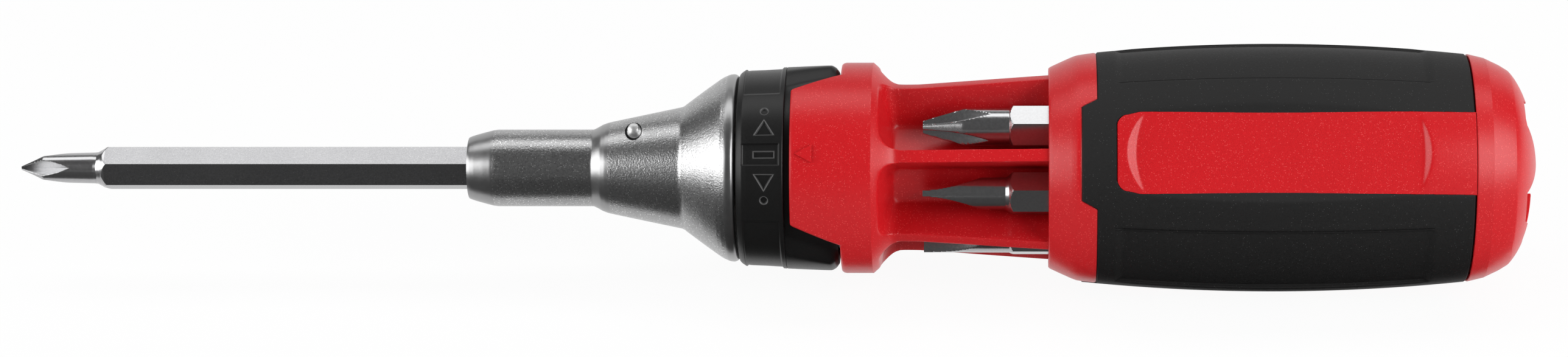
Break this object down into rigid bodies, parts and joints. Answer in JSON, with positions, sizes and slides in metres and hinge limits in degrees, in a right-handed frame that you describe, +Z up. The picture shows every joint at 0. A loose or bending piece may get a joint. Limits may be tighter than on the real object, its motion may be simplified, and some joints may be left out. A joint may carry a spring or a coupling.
{
  "type": "bit holder screwdriver",
  "caption": "Ratcheting screwdriver with a red and black handle, a ring that sets drive direction, bits stored in an open waist, and a removable hex shaft.",
  "frame": {"origin": "on the tool's axis, at the centre of the flat floor of the recess in the end cap", "axes": "the tool lies along X with its tip toward -X and its end cap toward +X; +Z is up with one flat panel of the grip underneath; the panel that faces the camera is turned 60 degrees from +Z toward -Y"},
  "size_m": [0.2462, 0.04, 0.0387],
  "materials": {
    "red_plastic": "moulded red plastic with a fine satin grain",
    "black_rubber": "matte overmoulded rubber",
    "black_plastic": "satin black plastic",
    "satin_chrome": "bead-blasted satin plating with a polished rim",
    "tool_steel": "dark phosphated or sandblasted steel",
    "spring_steel": "bright spring wire",
    "bronze": "sintered bronze",
    "magnet": "plated magnet"
  },
  "bodies": {
    "handle": {"handle_body": "red_plastic", "grip_sleeve": "black_rubber", "end_cap": "red_plastic", "ratchet_housing": "tool_steel", "ratchet_cover": "tool_steel", "pawl_pin_upper": "tool_steel", "pawl_pin_lower": "tool_steel", "rear_bush": "bronze", "front_bush": "bronze", "tail_washer": "tool_steel"},
    "selector": {"selector_ring": "black_plastic", "plunger_spring_upper": "spring_steel", "plunger_spring_lower": "spring_steel"},
    "upper_plunger": {"plunger_upper": "tool_steel"},
    "lower_plunger": {"plunger_lower": "tool_steel"},
    "upper_pawl": {"rocker_pawl_upper": "tool_steel"},
    "lower_pawl": {"rocker_pawl_lower": "tool_steel"},
    "drive": {"nose_housing": "satin_chrome", "drive_spindle": "tool_steel", "ratchet_gear": "tool_steel", "spindle_pin": "tool_steel", "spindle_clip": "spring_steel", "thrust_washer": "bronze", "bit_clip": "spring_steel", "socket_magnet": "magnet"},
    "shaft": {"driver_shaft": "tool_steel"},
    "stored_cross_large": {"bit_cross_large": "tool_steel"},
    "stored_square_small": {"bit_square_small": "tool_steel"},
    "stored_cross_small": {"bit_cross_small": "tool_steel"},
    "stored_square_large": {"bit_square_large": "tool_steel"},
    "stored_blade_wide": {"bit_blade_wide": "tool_steel"},
    "stored_blade_narrow": {"bit_blade_narrow": "tool_steel"}
  },
  "joints": [
    {"name": "drive_spin", "type": "hinge", "parent": "handle", "child": "drive", "pos_m": [-0.138, 0, 0], "axis": [-1, 0, 0], "continuous": true},
    {"name": "shaft_pull", "type": "slide", "parent": "drive", "child": "shaft", "axis": [-1, 0, 0], "range_m": [0, 0.0225]},
    {"name": "selector_turn", "type": "hinge", "parent": "handle", "child": "selector", "pos_m": [-0.118, 0, 0], "axis": [-1, 0, 0], "range_deg": [-16, 16]},
    {"name": "upper_pawl_rock", "type": "hinge", "parent": "handle", "child": "upper_pawl", "pos_m": [-0.116, 0.00485, 0.0084], "axis": [-1, 0, 0], "range_deg": [-4.5, 4.5]},
    {"name": "lower_pawl_rock", "type": "hinge", "parent": "handle", "child": "lower_pawl", "pos_m": [-0.116, -0.00485, -0.0084], "axis": [-1, 0, 0], "range_deg": [-4.5, 4.5]},
    {"name": "upper_plunger_press", "type": "slide", "parent": "selector", "child": "upper_plunger", "axis": [0, 0.5, 0.866], "range_m": [0, 0.0004], "stiffness_N_per_m": 300, "springref_m": -0.001},
    {"name": "lower_plunger_press", "type": "slide", "parent": "selector", "child": "lower_plunger", "axis": [0, -0.5, -0.866], "range_m": [0, 0.0004], "stiffness_N_per_m": 300, "springref_m": -0.001},
    {"name": "cross_large_slide", "type": "slide", "parent": "handle", "child": "stored_cross_large", "axis": [-1, 0, 0], "range_m": [0, 0.00495]},
    {"name": "square_small_slide", "type": "slide", "parent": "handle", "child": "stored_square_small", "axis": [-1, 0, 0], "range_m": [0, 0.00495]},
    {"name": "cross_small_slide", "type": "slide", "parent": "handle", "child": "stored_cross_small", "axis": [-1, 0, 0], "range_m": [0, 0.00495]},
    {"name": "square_large_slide", "type": "slide", "parent": "handle", "child": "stored_square_large", "axis": [-1, 0, 0], "range_m": [0, 0.00495]},
    {"name": "blade_wide_slide", "type": "slide", "parent": "handle", "child": "stored_blade_wide", "axis": [-1, 0, 0], "range_m": [0, 0.00495]},
    {"name": "blade_narrow_slide", "type": "slide", "parent": "handle", "child": "stored_blade_narrow", "axis": [-1, 0, 0], "range_m": [0, 0.00495]}
  ],
  "couplings": [
    {"joint": "upper_pawl_rock", "follows": "selector_turn", "ratio": 0.28},
    {"joint": "lower_pawl_rock", "follows": "selector_turn", "ratio": 0.28}
  ]
}
